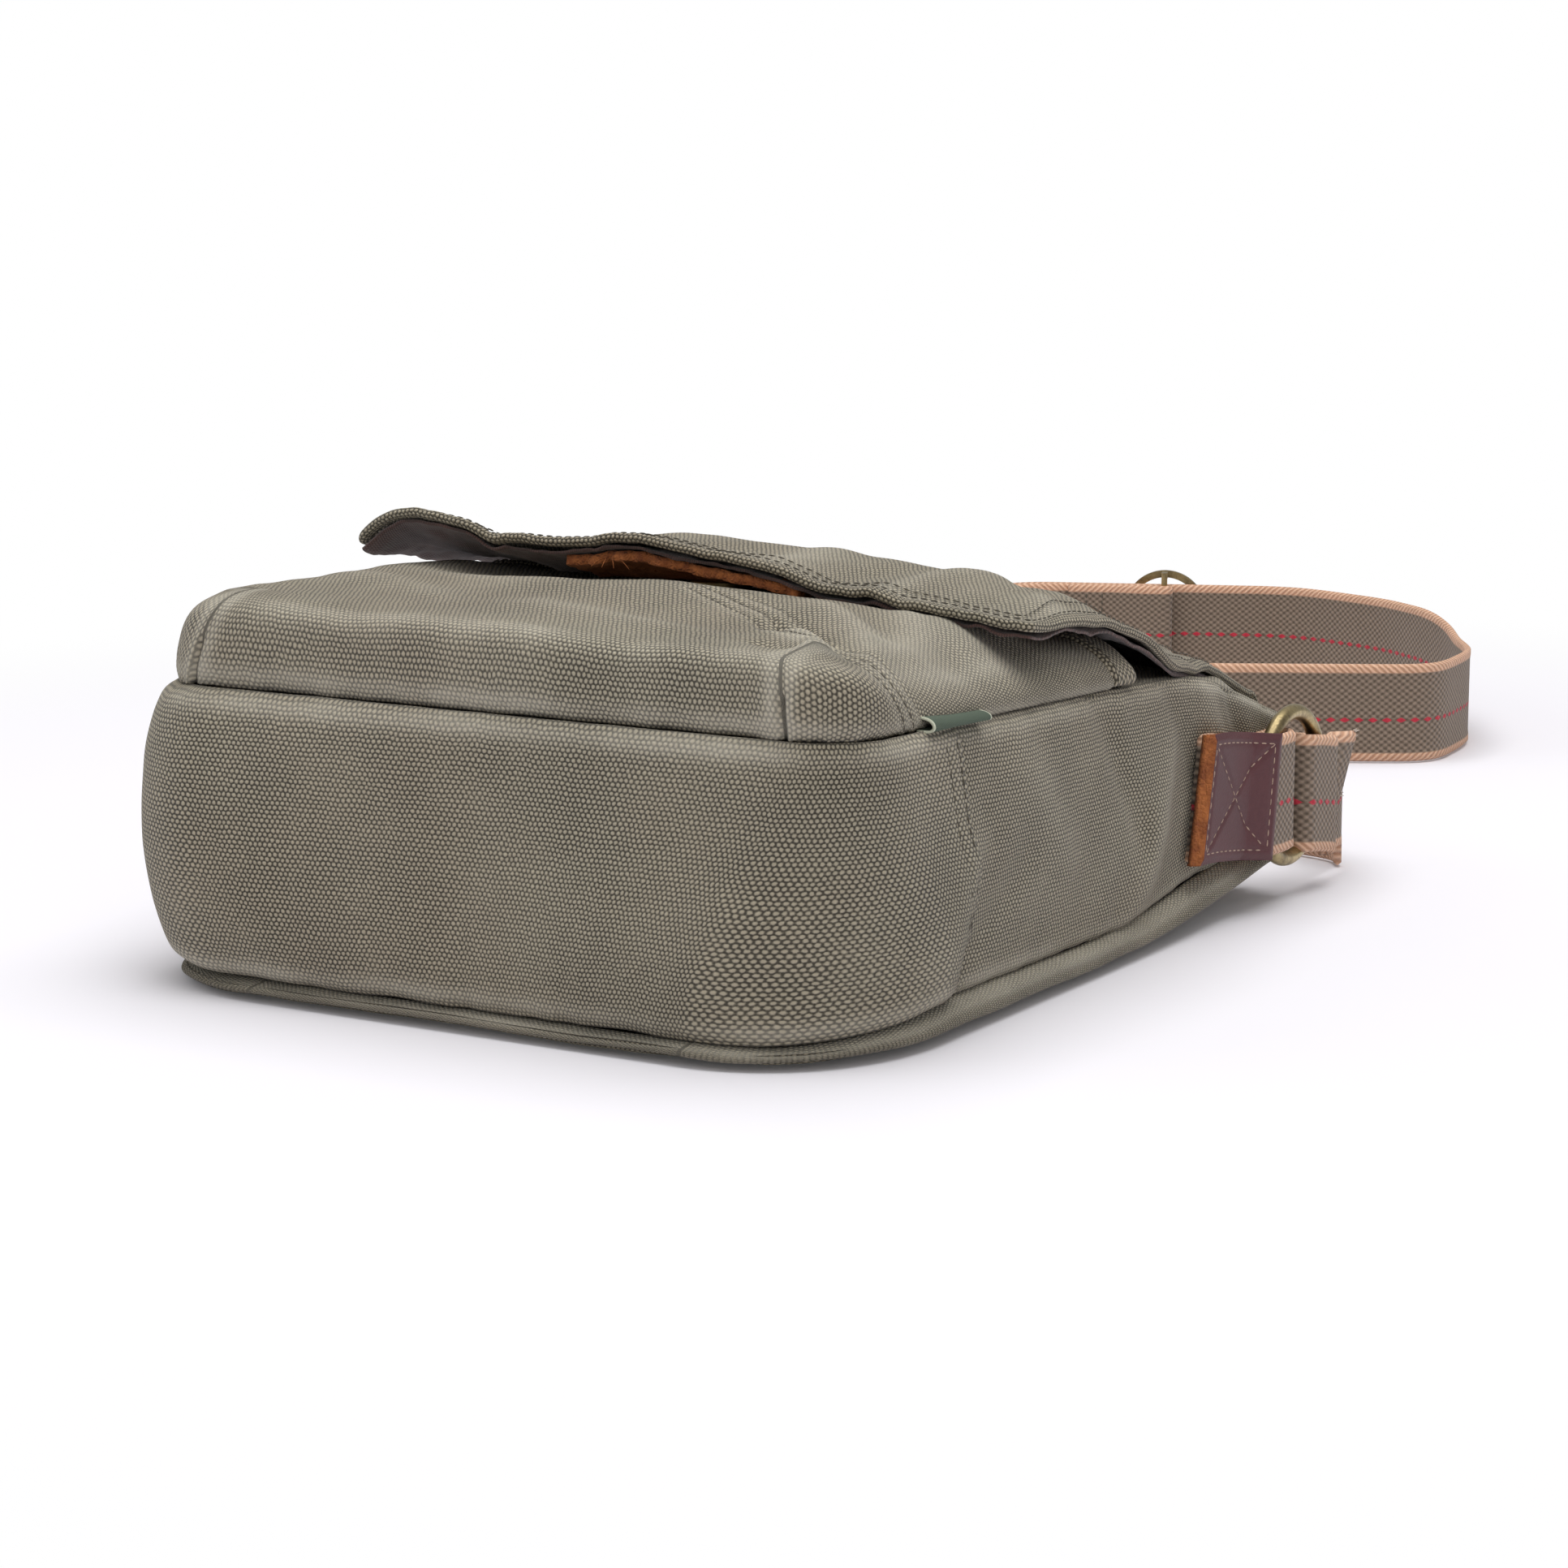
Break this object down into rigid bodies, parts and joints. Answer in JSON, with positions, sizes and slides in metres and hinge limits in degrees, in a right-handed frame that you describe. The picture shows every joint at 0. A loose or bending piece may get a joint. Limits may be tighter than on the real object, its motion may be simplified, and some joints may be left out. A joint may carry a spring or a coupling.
{
  "type": "messenger bag",
  "caption": "Small upright canvas messenger bag with a boxed front pocket, a deep front flap, round brass rings and an adjustable webbing shoulder strap, lying on its back.",
  "frame": {"origin": "middle of the flat back panel, on the surface that the bag lies on", "axes": "+X across the bag, +Y from its bottom end to its mouth, +Z from the back panel to the flap"},
  "size_m": [0.3651, 0.6949, 0.1272],
  "materials": {
    "canvas": "washed heavy cotton canvas, olive grey",
    "lining_cotton": "dark brown plain cotton",
    "webbing": "olive brown cotton webbing with tan edges and a red dashed line",
    "brown_leather": "smooth dark maroon brown leather with raw tan edges",
    "tan_leather": "raw tan leather",
    "antique_brass": "antique brass, worn",
    "label_tape": "woven green tape, blank"
  },
  "bodies": {
    "bag": {"back_panel": "canvas", "bottom_gusset": "canvas", "folded_label": "label_tape", "lining_back": "lining_cotton", "lining_front": "lining_cotton", "lining_gusset": "lining_cotton", "main_front_panel": "canvas", "mouth_hem": "canvas", "pocket_front": "canvas", "pocket_hem": "canvas", "pocket_snap_patch": "tan_leather", "side_gusset_left": "canvas", "side_gusset_right": "canvas", "snap_stud": "antique_brass", "strap_back_run": "webbing", "strap_behind_bag": "webbing", "strap_double_inner": "webbing", "strap_double_outer": "webbing", "strap_end_left": "webbing", "strap_end_right": "webbing", "strap_front_run": "webbing", "strap_slider_run": "webbing", "strap_turn_left": "webbing", "strap_turn_right": "webbing", "tab_leather_left": "brown_leather", "tab_leather_right": "brown_leather", "tab_webbing_left": "webbing", "tab_webbing_right": "webbing"},
    "flap_top": {"flap_top_canvas": "canvas", "flap_top_lining": "lining_cotton"},
    "flap_front": {"flap_front_canvas": "canvas", "flap_front_lining": "lining_cotton", "flap_snap_patch": "tan_leather", "snap_socket": "antique_brass"},
    "ring_right": {"ring_right": "antique_brass"},
    "ring_left": {"ring_left": "antique_brass"},
    "slider": {"slider_frame": "antique_brass", "slider_bar": "antique_brass", "slider_loop": "webbing"}
  },
  "joints": [
    {"name": "flap_top_hinge", "type": "hinge", "parent": "bag", "child": "flap_top", "pos_m": [0, 0.14, 0.013], "axis": [-1, 0, 0], "range_deg": [0, 45]},
    {"name": "flap_front_hinge", "type": "hinge", "parent": "flap_top", "child": "flap_front", "pos_m": [0, 0.1402, 0.0581], "axis": [-1, 0, 0], "range_deg": [0, 100]},
    {"name": "ring_right_spin", "type": "hinge", "parent": "bag", "child": "ring_right", "pos_m": [0.12, 0.132, 0.036], "axis": [1, 0, 0], "continuous": true},
    {"name": "ring_left_spin", "type": "hinge", "parent": "bag", "child": "ring_left", "pos_m": [-0.12, 0.132, 0.036], "axis": [1, 0, 0], "continuous": true},
    {"name": "slider_slide", "type": "slide", "parent": "bag", "child": "slider", "axis": [0.9301, 0.3674, 0], "range_m": [-0.012, 0.012]}
  ]
}
